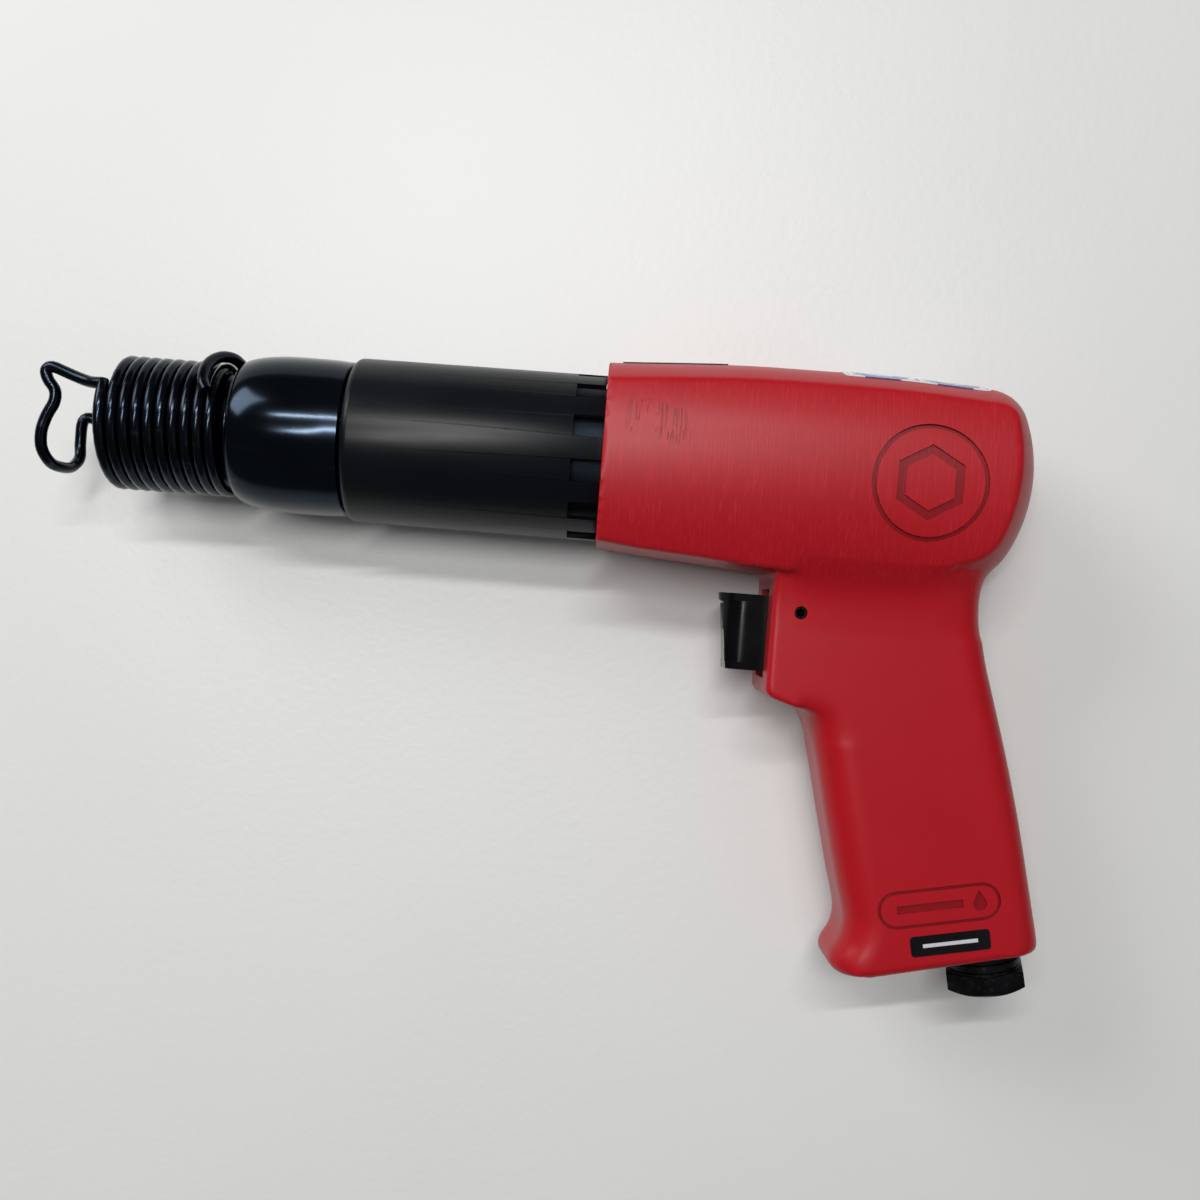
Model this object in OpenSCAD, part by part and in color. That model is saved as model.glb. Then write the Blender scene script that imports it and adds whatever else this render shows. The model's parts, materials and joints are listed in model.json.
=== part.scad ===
// Pneumatic air hammer, pistol grip, lying on its side.
// X runs along the barrel and away from the nose, +Y is the tool's top, +Z its left side.
// The origin is the centre of the mouth of the chisel bore.

/* [Barrel] */
// Radius of the bore for the chisel shank
shank_bore_r = 5.15; // [5.1:0.01:5.2]
// Length of the chisel bore
shank_bore_l = 32; // [28:1:34]
// Radius of the piston bore
piston_bore_r = 9.55; // [9.3:0.05:9.8]
// Radius of the nose that the retainer spring sits on
nose_r = 15.4; // [15:0.1:15.5]
// Length of the nose
nose_l = 27; // [27:0.5:29]
// Largest radius of the swell behind the nose
swell_r = 21.9; // [21:0.1:22]
// End of the swell
swell_end = 58; // [57:0.5:58]
// Radius of the barrel under the sleeve and of its screwed tail
tail_r = 19.6; // [19.2:0.1:19.8]

/* [Exhaust sleeve] */
// Outside radius of the sleeve at its front
sleeve_r = 22.9; // [22.6:0.1:23.1]
// Wall of the sleeve
sleeve_wall = 1.5; // [1:0.1:1.8]
// Number of notches in its rear edge
notch_count = 12; // [8:1:12]
// Depth of a notch along the barrel
notch_l = 8; // [6:0.5:10]

/* [Retainer spring] */
// Diameter of the wire
wire_d = 3.2; // [3:0.05:3.2]
// Radius of the coil to the middle of the wire
coil_r = 17.25; // [17.2:0.05:17.4]
// Distance between turns
coil_pitch = 3.3; // [3.3:0.05:3.4]

/* [Housing] */
// Front face of the housing
housing_front = 128.2; // [127:0.1:129]
// Rearmost point of the housing
housing_rear = 247.7; // [246:0.1:249]
// Half the width of the body
body_half_w = 26.4; // [26:0.1:27]
// Half the width of the grip
grip_half_w = 16; // [15:0.5:17]
// Lean of the grip, degrees
grip_lean = 14.3; // [12:0.1:16]

/* [Trigger] */
// Travel of the trigger
trigger_travel = 6; // [4:0.5:6]
// Height of the trigger over its flanges
trigger_h = 21; // [19:0.5:22]
// Diameter of the round part of the trigger
trigger_d = 14.4; // [12:0.1:14.6]

/* [Air inlet] */
// Hexagon of the inlet bushing across its flats
hex_af = 20.6; // [19:0.1:22]
// Minor radius of the tapped inlet, 1/4 NPT
inlet_bore_r = 5.75; // [5.6:0.05:5.9]
// Lean of the inlet, degrees
inlet_lean = 12; // [10:0.5:14]

/* [Hidden] */
$fn = 64;
fit = 0.05;                    // running and locating clearance on a radius
skin = 0.4;                    // thickness of a plate or label

// barrel and valve stations along X
barrel_end = 148;
ring_x = [62.5, 112];          // grooves for the two sleeve rings
ring_wire_r = 1.05;
port_x = 100;                  // exhaust ports
port_r = 2.2;
valve_r = 16.5;
valve_front_l = 9;
valve_rear_l = 7.2;
disc_pocket = 1.5;             // depth of the disc's pocket in each case
disc_t = 1.5;
disc_r = 8;
washer_t = 1.1;
valve_front_x = barrel_end + fit;
valve_rear_x = valve_front_x + valve_front_l + fit;
disc_x = valve_rear_x - disc_pocket + fit;
washer_x = valve_rear_x + valve_rear_l + fit;
chamber_end = washer_x + washer_t + fit;
dowel_r = 1.5;
dowel_off = 12.6;
feed_r = 4.5;
feed_end = 208;

// piston
piston_r = piston_bore_r - fit;
piston_l = 40;
piston_front = shank_bore_l + 1;

// sleeve
sleeve_front = swell_end + 0.2;
sleeve_rear = housing_front - 0.2;
sleeve_rear_r = sleeve_r + 0.3;
lip_l = 3;
edge_r = 2;

// throttle line, parallel to X in the grip
throttle_y = -45.4;
slot_x = 176;
slot_end = 198;
slot_h = 24.6;
slot_half_w = 7.6;
bush_r = 6;
bush_l = 14;
bush_x = slot_end;
stem_r = 1.9;
port_pass_x = bush_x + 7;
pass_r = 3;
bore_end = 233;
stem_x = 190.1;
head_x = bush_x + bush_l + 1.6;
head_l = 3;
head_r = 4.2;
seal_t = 1.5;
spring_x = head_x + head_l;
spring_l = bore_end - spring_x;
spring_turns = 6;
spring_wire_r = 0.45;
spring_mid_r = 3.4;
pin = [184.8, -39];
pin_r = 1.65;

// trigger
trigger_front = 163.9;
trigger_back = 190;
flange_t = 2.2;
trigger_top = throttle_y + trigger_h / 2;

// inlet
inlet = [245.3, -128.7];       // where the inlet axis leaves the grip
thread_r = 9.4;
thread_l = 14;
gasket_t = 0.8;
collar_r = 10.2;
collar_l = 5;
hex_l = 5.6;
groove_d = 0.7;
air_r = 5;
screen_r = 6.6;
screen_l = 9;

// badge on the left side of the body, and the label at the foot of the grip
badge = [214.3, -2.5];
badge_r = 15.4;
grip_label_at = [231.7, -124.6];
grip_label_size = [21.6, 5.5];
grip_label_lean = 10.7;

// outline of the body seen from its left side, above and below the barrel axis
body_top = [[housing_front, 26.6], [162, 28.5], [182, 28.8], [208, 28.6], [228, 27.8]];
body_low = [[housing_front, -24.9], [141, -26.2], [158, -27.4], [177, -29], [236, -29.5]];
// rear of the body: rounded corner above, long round back, turn into the neck below
function arc(c, r, a0, a1, n) = [for (i = [0:n]) c + r * [cos(a0 + (a1 - a0) * i / n), sin(a0 + (a1 - a0) * i / n)]];
body_back = concat(arc([227.5, 12.8], 15, 88, 32, 6), arc([202.7, 2.5], 45, 22, -28, 8));

// outline of the grip: front face, web, finger side, foot, back
grip_outline = [
    [177, -20], [177, -61.8], [185.4, -64.3], [189.6, -67], [192.5, -75.3], [196.6, -92.3],
    [200.8, -109.3], [203.6, -119.2], [204.2, -123.4], [203.2, -128.2], [201, -131.6], [200.8, -133.8],
    [202.6, -135.8], [207, -136], [233.6, -131.3], [252.4, -127.2], [255.9, -125.8], [256.6, -123],
    [254.8, -114.6], [250.2, -94.2], [245.9, -77.9], [241.1, -61.7], [237, -48.2], [235.2, -40],
    [235.2, -31.7], [235.6, -25]
];

// lays what is drawn up +Z along +X, from x
module along_x(x) translate([x, 0, 0]) rotate([0, 90, 0]) children();

// lays what is drawn up +Z along the inlet, outwards, from t past the grip's foot
module along_inlet(t) translate([inlet.x, inlet.y, 0]) rotate([0, 0, inlet_lean]) rotate([90, 0, 0])
    translate([0, 0, t]) children();

module tube(r, hole_r, l) difference() {
    cylinder(r = r, h = l);
    translate([0, 0, -1]) cylinder(r = hole_r, h = l + 2);
}

// ring of round section about the Z axis
module torus(r, section_r) rotate_extrude() translate([r, 0]) circle(section_r, $fn = 24);

// ---- housing -----------------------------------------------------------------

// cross-section of the body: flattened sides, crowned top and bottom, crisp edges between
module body_section() {
    side_r = 62;
    crown_r = 38;
    intersection() {
        square([2 * body_half_w - 0.6, 70], center = true);
        for (s = [-1, 1]) translate([s * (side_r - body_half_w), 0]) circle(side_r, $fn = 128);
        translate([0, 29 - crown_r]) circle(crown_r, $fn = 128);
        translate([0, crown_r - 29.6]) circle(crown_r, $fn = 128);
    }
}

// the body seen from above: crowned back
module body_plan() {
    back_r = 45;
    translate([housing_front, -30]) square([90, 60]);
    intersection() {
        translate([housing_rear - back_r, 0]) circle(back_r, $fn = 128);
        translate([housing_rear - back_r, -30]) square([back_r, 60]);
    }
}

module body_blank() intersection() {
    linear_extrude(60, center = true) polygon(concat(body_top, body_back, [body_low[4]],
        [for (i = [3:-1:0]) body_low[i]]));
    along_x(100) linear_extrude(160) body_section();
    rotate([-90, 0, 0]) linear_extrude(80, center = true) body_plan();
}

// cross-section of the grip across its lean
module grip_section() {
    corner = 9;
    depth = 56;
    square([depth - 2 * corner, 2 * grip_half_w], center = true);
    square([depth, 2 * grip_half_w - 2 * corner], center = true);
    for (x = [-1, 1], y = [-1, 1])
        translate([x * (depth / 2 - corner), y * (grip_half_w - corner)]) circle(corner);
}

module grip_blank() {
    intersection() {
        linear_extrude(2 * grip_half_w, center = true) polygon(grip_outline);
        union() {
            translate([217.4, -70, 0]) rotate([0, 0, grip_lean]) rotate([90, 0, 0])
                linear_extrude(140, center = true) grip_section();
            translate([170, -66, -13.5]) cube([30, 60, 27]);
            translate([200, -66, -grip_half_w]) cube([36, 60, 2 * grip_half_w]);
        }
    }
    // forward tip of the foot
    intersection() {
        linear_extrude(2 * grip_half_w - 6, center = true) polygon(grip_outline);
        translate([190, -140, -grip_half_w]) cube([30, 24, 2 * grip_half_w]);
    }
}

module housing() color([0.72, 0.07, 0.1]) difference() {
    union() {
        body_blank();
        grip_blank();
    }
    // barrel seat, valve chamber and air feed
    along_x(housing_front - 1) cylinder(r = tail_r + fit, h = barrel_end - housing_front + 1);
    along_x(barrel_end - 0.01) cylinder(r = valve_r + fit, h = chamber_end - barrel_end + 0.01);
    along_x(chamber_end - 0.01) cylinder(r = feed_r, h = feed_end - chamber_end);
    // passage from the throttle up to the feed
    translate([port_pass_x, throttle_y, 0]) rotate([-90, 0, 0]) cylinder(r = pass_r, h = -throttle_y);
    // trigger slot, throttle bore and pin hole
    translate([slot_x - 5, throttle_y - slot_h / 2, -slot_half_w])
        cube([slot_end - slot_x + 5, slot_h, 2 * slot_half_w]);
    translate([0, throttle_y, 0]) along_x(slot_end - 0.01) cylinder(r = bush_r + fit, h = bore_end - slot_end + 0.01);
    translate([pin.x, pin.y, -20]) cylinder(r = pin_r + fit, h = 40);
    // inlet seat and passage
    along_inlet(-thread_l - 0.5) cylinder(r = thread_r + fit, h = 40);
    along_inlet(-84) cylinder(r = air_r, h = 80);
    along_inlet(0) cylinder(r = collar_r + 0.4, h = 4);
    // ring round the badge on the left side
    translate([badge.x, badge.y, body_half_w - 1.2]) tube(badge_r, badge_r - 1.2, 4);
}

// ---- barrel ------------------------------------------------------------------

// half profile of the barrel: nose, swell, relief under the sleeve, screwed tail
module barrel_profile() {
    polygon([
        [0, 0], [nose_r - 0.8, 0], [nose_r, 0.8], [nose_r, nose_l], [19.2, nose_l],
        [20.4, nose_l + 2.2], [21.3, nose_l + 5.8], [swell_r, nose_l + 12], [swell_r, nose_l + 28],
        [swell_r - 0.5, swell_end], [tail_r, swell_end], [tail_r, barrel_end], [0, barrel_end]
    ]);
}

module barrel() color([0.12, 0.14, 0.2]) along_x(0) difference() {
    rotate_extrude($fn = 96) barrel_profile();
    translate([0, 0, -1]) cylinder(r = shank_bore_r, h = shank_bore_l + 2);
    translate([0, 0, shank_bore_l]) cylinder(r = piston_bore_r, h = barrel_end);
    for (x = ring_x) translate([0, 0, x]) tube(tail_r + 1, tail_r - 1, 2.4);
    for (a = [30:60:330]) translate([0, 0, port_x]) rotate([0, 0, a]) rotate([0, 90, 0])
        cylinder(r = port_r, h = 30);
}

module exhaust_sleeve() color([0.06, 0.06, 0.07]) along_x(0) difference() {
    rotate_extrude($fn = 96) {
        polygon([
            [tail_r + 0.2, sleeve_front], [sleeve_r - edge_r, sleeve_front],
            [sleeve_r - edge_r, sleeve_front + edge_r], [sleeve_r, sleeve_front + edge_r],
            [sleeve_rear_r, sleeve_rear], [sleeve_rear_r - sleeve_wall, sleeve_rear],
            [sleeve_r - sleeve_wall, sleeve_front + lip_l], [tail_r + 0.2, sleeve_front + lip_l]
        ]);
        translate([sleeve_r - edge_r, sleeve_front + edge_r]) intersection() {
            circle(edge_r);
            translate([0, -edge_r]) square(edge_r);
        }
    }
    for (i = [0:notch_count - 1]) rotate([0, 0, (i + 0.5) * 360 / notch_count])
        translate([sleeve_r - 4, -3, sleeve_rear - notch_l]) cube([8, 6, notch_l + 1]);
}

module sleeve_rings() color([0.05, 0.05, 0.05])
    for (x = ring_x) along_x(x + 1.2) torus(tail_r - 1 + ring_wire_r + 0.05, ring_wire_r);

// ---- retainer spring: one wire swept along its path ------------------------------

function unit(v) = v / norm(v);
// a point at angle a round the barrel, at radius r and station x
function round_x(a, r, x) = [x, r * cos(a), r * sin(a)];
// a rounded corner at b between a and c, starting r before it
function corner(a, b, c, r) = [for (t = [0:0.25:1])
    (1 - t) * (1 - t) * (b + r * unit(a - b)) + 2 * t * (1 - t) * b + t * t * (b + r * unit(c - b))];
coil_front = -7.6;
coil_a0 = 60;                  // angle where the coil starts at its front
coil_turns = 9.78;
steps_per_turn = 16;
coil = [for (i = [0:coil_turns * steps_per_turn])
    round_x(coil_a0 + i * 360 / steps_per_turn, coil_r, coil_front + i * coil_pitch / steps_per_turn)];
// free end at the rear: over the top, raised above the last turns
tail = [for (p = [[355, 18.3, 25], [370, 19.9, 23.8], [382, 20.8, 21.7], [395, 20.9, 20],
    [408, 20.9, 19.6], [420, 20.9, 20.2], [427, 20.8, 21.6]]) round_x(p[0], p[1], p[2])];
// yoke at the front: forward arm, two legs either side of the chisel, hook back to the coil
yoke = [[-9.2, -5.5, -13], [-23.3, 2.4, -10.2], [-23.3, -13.6, -10], [-25.6, -13.8, 10], [-22, 4.8, 10.4],
    [-26.2, 12.3, 10.6], [-10.4, 8.7, 13.6], round_x(coil_a0, coil_r, coil_front)];
yoke_bend = [4, 6, 6, 4, 2.6, 3];
yoke_path = concat([yoke[0]], [for (i = [1:6]) each corner(yoke[i - 1], yoke[i], yoke[i + 1], yoke_bend[i - 1])]);
wire_path = concat(yoke_path, coil, tail);

// direction of the wire at point i, and the direction straight out from the barrel there
function way(i) = unit(wire_path[min(i + 1, len(wire_path) - 1)] - wire_path[max(i - 1, 0)]);
function out(i) = let (p = wire_path[i], o = [0, p.y, p.z]) unit(o - (o * way(i)) * way(i));

module retainer_spring() {
    n = len(wire_path);
    sides = 8;
    rings = [for (i = [0:n - 1]) let (u = out(i), v = cross(way(i), u)) for (k = [0:sides - 1])
        wire_path[i] + wire_d / 2 * (cos(k * 360 / sides) * u + sin(k * 360 / sides) * v)];
    quads = [for (i = [0:n - 2], k = [0:sides - 1]) let (a = i * sides + k, b = i * sides + (k + 1) % sides)
        [a, a + sides, b + sides, b]];
    ends = [[for (k = [0:sides - 1]) k], [for (k = [sides - 1:-1:0]) (n - 1) * sides + k]];
    color([0.1, 0.13, 0.2]) polyhedron(rings, concat(quads, ends));
}

// ---- piston and valve -----------------------------------------------------------

module piston() color([0.6, 0.6, 0.62]) along_x(piston_front) rotate_extrude($fn = 96) polygon([
    [0, 0], [piston_r - 2.5, 0], [piston_r - 1.5, 2], [piston_r - 1.5, 6], [piston_r, 8],
    [piston_r, piston_l - 1], [piston_r - 1, piston_l], [0, piston_l]
]);

// holes of the two dowels, turned about the barrel axis
module dowel_holes(l) for (s = [-1, 1])
    translate([0, s * dowel_off, -1]) cylinder(r = dowel_r + 0.02, h = l + 2, $fn = 32);

module valve_case_front() color([0.55, 0.56, 0.58]) along_x(valve_front_x) difference() {
    cylinder(r = valve_r, h = valve_front_l);
    translate([0, 0, -1]) cylinder(r = 3.5, h = valve_front_l + 2);
    translate([0, 0, valve_front_l - disc_pocket]) cylinder(r = disc_r + 0.3, h = 3);
    dowel_holes(valve_front_l);
}

module valve_disc() color([0.65, 0.6, 0.45]) along_x(disc_x) tube(disc_r, 2, disc_t);

module valve_case_rear() color([0.5, 0.51, 0.53]) along_x(valve_rear_x) difference() {
    cylinder(r = valve_r, h = valve_rear_l);
    translate([0, 0, -1]) cylinder(r = disc_r + 0.3, h = disc_pocket + 1);
    translate([0, 0, -1]) cylinder(r = 3, h = valve_rear_l + 2);
    dowel_holes(valve_rear_l);
}

module valve_dowels() color([0.75, 0.75, 0.77]) for (s = [-1, 1])
    along_x(valve_front_x) translate([0, s * dowel_off, 0])
        cylinder(r = dowel_r, h = washer_x - valve_front_x - 2 * fit, $fn = 32);

module valve_spring_washer() color([0.7, 0.7, 0.7]) along_x(washer_x) tube(valve_r - 0.5, valve_r - 5, washer_t);

// ---- trigger and throttle ----------------------------------------------------------

module trigger() color([0.05, 0.05, 0.06]) difference() {
    union() {
        // shank in the slot
        translate([179, trigger_top - trigger_h, -trigger_d / 2]) cube([trigger_back - 179, trigger_h, trigger_d]);
        // round front between the flanges
        translate([trigger_front + trigger_d / 2 + 0.9, trigger_top - trigger_h + 1, 0]) rotate([-90, 0, 0])
            cylinder(d = trigger_d, h = trigger_h - 2);
        translate([trigger_front + trigger_d / 2 + 0.9, trigger_top - trigger_h + 1, -trigger_d / 2])
            cube([10, trigger_h - 2, trigger_d]);
        // flanges
        for (y = [trigger_top - flange_t, trigger_top - trigger_h])
            translate([trigger_front, y, -trigger_d / 2]) cube([20, flange_t, trigger_d]);
    }
    // front follows a shallow slant
    translate([trigger_front - 5, trigger_top - trigger_h - 10, -10]) rotate([0, 0, 7]) cube([3.6, 28, 20]);
    // long slot that the pin runs in
    for (x = [pin.x - trigger_travel, pin.x]) translate([x, pin.y, -10]) cylinder(r = pin_r + 0.2, h = 20, $fn = 32);
    translate([pin.x - trigger_travel, pin.y - pin_r - 0.2, -10]) cube([trigger_travel, 2 * pin_r + 0.4, 20]);
}

module trigger_pin() color([0.1, 0.1, 0.11]) translate([pin.x, pin.y, -15.6]) difference() {
    tube(pin_r, 1.1, 31.2);
    translate([-0.3, 0, -1]) cube([0.6, 3, 34]);
}

module throttle_bushing() color([0.78, 0.62, 0.3]) translate([0, throttle_y, 0]) difference() {
    guide_r = stem_r + fit;
    ring_floor = bush_r - 0.9;
    along_x(bush_x) rotate_extrude() polygon([
        [guide_r, 0.1], [bush_r, 0.1], [bush_r, 1.6], [ring_floor, 1.6], [ring_floor, 3.5], [bush_r, 3.5],
        [bush_r, 10.2], [ring_floor, 10.2], [ring_floor, 12.1], [bush_r, 12.1], [bush_r, bush_l],
        [3.2, bush_l], [3.2, 5], [guide_r, 5], [guide_r, 3.7], [2.9, 3.7], [2.9, 2.2], [guide_r, 2.2]
    ]);
    // air port to the passage above
    translate([port_pass_x, 0, 0]) rotate([-90, 0, 0]) cylinder(r = 1.4, h = 10);
}

module throttle_bushing_rings() color([0.05, 0.05, 0.05]) translate([0, throttle_y, 0])
    for (x = [1.6, 10.2]) along_x(bush_x + x + 0.95) torus(bush_r - 0.43, 0.45);

module stem_ring() color([0.05, 0.05, 0.05]) translate([0, throttle_y, 0])
    along_x(bush_x + 2.95) torus(2.42, 0.46);

module throttle_stem() color([0.8, 0.65, 0.32]) translate([0, throttle_y, 0]) {
    along_x(stem_x) cylinder(r = stem_r, h = head_x - stem_x + 0.1);
    along_x(head_x) cylinder(r = head_r, h = head_l);
}

module throttle_valve_seal() color([0.05, 0.05, 0.05]) translate([0, throttle_y, 0])
    along_x(head_x - seal_t) tube(4, stem_r + 0.02, seal_t - 0.02);

module throttle_spring() color([0.7, 0.71, 0.73]) translate([0, throttle_y, 0]) {
    turns_l = spring_l - 2 * spring_wire_r - 0.4;
    for (i = [0:spring_turns]) along_x(spring_x + spring_wire_r + 0.2 + i * turns_l / spring_turns)
        torus(spring_mid_r, spring_wire_r);
    // the turns are tied by the wire's rise, drawn as one thin straight run
    along_x(spring_x + 0.4) translate([spring_mid_r, 0, 0]) cylinder(r = spring_wire_r * 0.8, h = spring_l - 0.8, $fn = 24);
}

// ---- air inlet ------------------------------------------------------------------

module inlet_bushing() color([0.1, 0.1, 0.11]) difference() {
    union() {
        along_inlet(-thread_l) cylinder(r = thread_r, h = thread_l + 1);
        along_inlet(gasket_t + 0.02) cylinder(r = collar_r, h = collar_l);
        along_inlet(gasket_t + collar_l) rotate([0, 0, 16]) intersection() {
            cylinder(d = hex_af / cos(30), h = hex_l, $fn = 6);
            // turned chamfer at the outer end
            union() {
                cylinder(r = hex_af / 2 + 2, h = hex_l - 1);
                translate([0, 0, hex_l - 1]) cylinder(r1 = hex_af / 2 + 1.4, r2 = hex_af / 2 - 0.6, h = 1);
            }
        }
    }
    for (t = [1.2, 3.4]) along_inlet(gasket_t + t) tube(collar_r + 1, collar_r - groove_d, 0.9);
    along_inlet(-3) cylinder(r = inlet_bore_r, h = 40);
    along_inlet(-thread_l - 1) cylinder(r = screen_r + 0.2, h = thread_l - 2);
}

module inlet_gasket() color([0.05, 0.05, 0.05])
    along_inlet(0.02) tube(collar_r - 0.1, thread_r + 0.05, gasket_t - 0.04);

module inlet_screen() color([0.7, 0.68, 0.6]) along_inlet(-thread_l + 0.2) difference() {
    cylinder(r = screen_r, h = screen_l);
    translate([0, 0, 0.6]) cylinder(r = screen_r - 0.6, h = screen_l);
    for (x = [-3.6:1.8:3.6], y = [-3.6:1.8:3.6]) translate([x - 0.5, y - 0.5, -1]) cube([1, 1, 3]);
}

// ---- plates and labels -------------------------------------------------------------

// thin plate that lies on top of the body, from x, l long and w wide
module skin_on_top(x, l, w) intersection() {
    difference() {
        translate([0, skin, 0]) body_blank();
        body_blank();
    }
    translate([x, 20, -w / 2]) cube([l, 12, w]);
}

module top_plate() color([0.5, 0.52, 0.52]) skin_on_top(132, 29, 18);

module top_label() color([0.9, 0.9, 0.9]) skin_on_top(192, 40, 31);

module grip_label() color([0.05, 0.05, 0.05])
    translate([grip_label_at.x, grip_label_at.y, grip_half_w + 0.02]) rotate([0, 0, grip_label_lean])
        linear_extrude(skin / 2) square(grip_label_size, center = true);

housing();
barrel();
exhaust_sleeve();
sleeve_rings();
retainer_spring();
piston();
valve_case_front();
valve_disc();
valve_case_rear();
valve_dowels();
valve_spring_washer();
trigger();
trigger_pin();
throttle_bushing();
throttle_bushing_rings();
stem_ring();
throttle_stem();
throttle_valve_seal();
throttle_spring();
inlet_bushing();
inlet_gasket();
inlet_screen();
top_plate();
top_label();
grip_label();
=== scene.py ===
import json
import math

import bpy
from mathutils import Matrix, Vector


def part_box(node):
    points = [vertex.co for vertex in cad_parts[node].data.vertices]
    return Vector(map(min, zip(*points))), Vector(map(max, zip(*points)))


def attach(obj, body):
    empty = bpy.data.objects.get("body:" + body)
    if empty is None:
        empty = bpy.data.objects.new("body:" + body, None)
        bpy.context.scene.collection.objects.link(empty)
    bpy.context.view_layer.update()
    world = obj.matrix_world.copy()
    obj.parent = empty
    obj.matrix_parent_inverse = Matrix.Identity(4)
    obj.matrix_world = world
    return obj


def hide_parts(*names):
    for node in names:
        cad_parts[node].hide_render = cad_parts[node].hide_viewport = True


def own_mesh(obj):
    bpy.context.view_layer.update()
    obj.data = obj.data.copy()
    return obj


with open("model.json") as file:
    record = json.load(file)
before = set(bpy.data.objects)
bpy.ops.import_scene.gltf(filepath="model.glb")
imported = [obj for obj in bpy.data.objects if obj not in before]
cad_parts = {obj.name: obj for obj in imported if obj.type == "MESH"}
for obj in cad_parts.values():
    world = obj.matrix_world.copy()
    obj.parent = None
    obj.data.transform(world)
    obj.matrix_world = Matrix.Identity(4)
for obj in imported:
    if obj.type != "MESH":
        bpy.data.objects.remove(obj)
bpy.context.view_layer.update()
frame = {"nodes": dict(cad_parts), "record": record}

MM = 0.001

# ---- table, light and camera ---------------------------------------------------
# A pale painted table under a bright ceiling. The hammer lies on its right side
# and is looked at from straight above.


class Value:
    """A number that varies over a surface. Sums and products of it add their Math nodes."""

    def __init__(self, tree, socket):
        self.tree, self.socket = tree, socket

    def math(self, operation, *values):
        """A Math node's result on these values."""
        node = self.tree.nodes.new("ShaderNodeMath")
        node.operation = operation
        for slot, value in zip(node.inputs, values):
            join(self.tree, value, slot)
        return Value(self.tree, node.outputs[0])

    def __add__(self, other):
        return self.math("ADD", self, other)

    def __sub__(self, other):
        return self.math("SUBTRACT", self, other)

    def __rsub__(self, other):
        return self.math("SUBTRACT", other, self)

    def __mul__(self, other):
        return self.math("MULTIPLY", self, other)

    def __pow__(self, other):
        return self.math("POWER", self, other)

    def __abs__(self):
        return self.math("ABSOLUTE", self)

    __radd__ = __add__
    __rmul__ = __mul__


def join(tree, value, slot):
    """Links a Value to a socket, or sets the socket to a plain number or colour."""
    if isinstance(value, Value):
        tree.links.new(value.socket, slot)
    elif value is not None:
        slot.default_value = value


class Finish:
    """A material, built round one Principled shader."""

    def __init__(self, name, **constants):
        self.material = bpy.data.materials.new(name)
        self.material.use_nodes = True
        self.tree = self.material.node_tree
        self.shader = self.tree.nodes["Principled BSDF"]
        for socket, value in constants.items():
            self.shader.inputs[socket.replace("_", " ")].default_value = value

    def node(self, kind, settings, inputs, output=0):
        """Adds any node: its settings are set first, then its inputs by name or number."""
        node = self.tree.nodes.new(kind)
        for name, value in settings.items():
            setattr(node, name, value)
        for name, value in inputs.items():
            join(self.tree, value, node.inputs[name])
        return Value(self.tree, node.outputs[output])

    def place(self, scale=(1, 1, 1), turn=(0, 0, 0), move=(0, 0, 0)):
        """The point on the piece, in metres, after a Mapping node."""
        point = self.node("ShaderNodeTexCoord", {}, {}, "Object")
        inputs = {"Vector": point, "Scale": scale, "Rotation": turn, "Location": move}
        return self.node("ShaderNodeMapping", {}, inputs)

    def axes(self, vector):
        """The three coordinates of a point, as Values."""
        split = self.tree.nodes.new("ShaderNodeSeparateXYZ")
        self.tree.links.new(vector.socket, split.inputs[0])
        return [Value(self.tree, s) for s in split.outputs]

    def noise(self, vector, scale, detail=3.0, rough=0.5):
        """Cloudy values between 0 and 1, scale of them to a metre."""
        inputs = {"Vector": vector, "Scale": scale, "Detail": detail, "Roughness": rough}
        return self.node("ShaderNodeTexNoise", {}, inputs)

    def between(self, value, low, high):
        """0 below low, 1 above high, and a smooth rise between them."""
        inputs = {"Value": value, "From Min": low, "From Max": high}
        return self.node("ShaderNodeMapRange", {"interpolation_type": "SMOOTHSTEP"}, inputs)

    def mix(self, first, second, factor):
        """The first colour where factor is 0, the second where it is 1."""
        inputs = {0: factor, 6: first, 7: second}
        return self.node("ShaderNodeMix", {"data_type": "RGBA"}, inputs, 2)

    def feed(self, **sockets):
        """Gives the shader's sockets their values, with _ for a space in a name."""
        for socket, value in sockets.items():
            join(self.tree, value, self.shader.inputs[socket.replace("_", " ")])

    def bump(self, height, depth, strength=1.0):
        """Raises the surface by height times depth, in metres."""
        inputs = {"Height": height, "Distance": depth, "Strength": strength}
        self.feed(Normal=self.node("ShaderNodeBump", {}, inputs))


def fresh():
    """Leaves edit mode with nothing selected, so that the next operator acts on its own piece alone."""
    if bpy.context.object is not None and bpy.context.object.mode != "OBJECT":
        bpy.ops.object.mode_set(mode="OBJECT")
    bpy.ops.object.select_all(action="DESELECT")


table_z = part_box("housing")[0].z
table_centre = (0.13, -0.04)
fresh()
bpy.ops.mesh.primitive_plane_add(size=4, location=(*table_centre, table_z))
table = bpy.context.object
table.name = "table"

table_paint = Finish("table_paint", Roughness=0.42)
spot = table_paint.noise(table_paint.place(), 9, 4)
warm = table_paint.mix((0.70, 0.705, 0.69, 1), (0.745, 0.745, 0.735, 1), spot)
table_paint.feed(Base_Color=warm)
table_paint.bump(table_paint.noise(table_paint.place(), 420, 2), 0.00008)
table.data.materials.append(table_paint.material)


def lamp(name, place, aim, size, watts, tint=(1, 1, 1)):
    """A flat lamp, size long by size wide, turned towards aim."""
    bpy.ops.object.light_add(type="AREA", location=place)
    light = bpy.context.object
    light.name = name
    light.data.shape = "RECTANGLE"
    light.data.size, light.data.size_y = size
    light.data.energy = watts
    light.data.color = tint
    way = Vector(aim) - Vector(place)
    light.rotation_euler = way.to_track_quat("-Z", "Y").to_euler()


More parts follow.
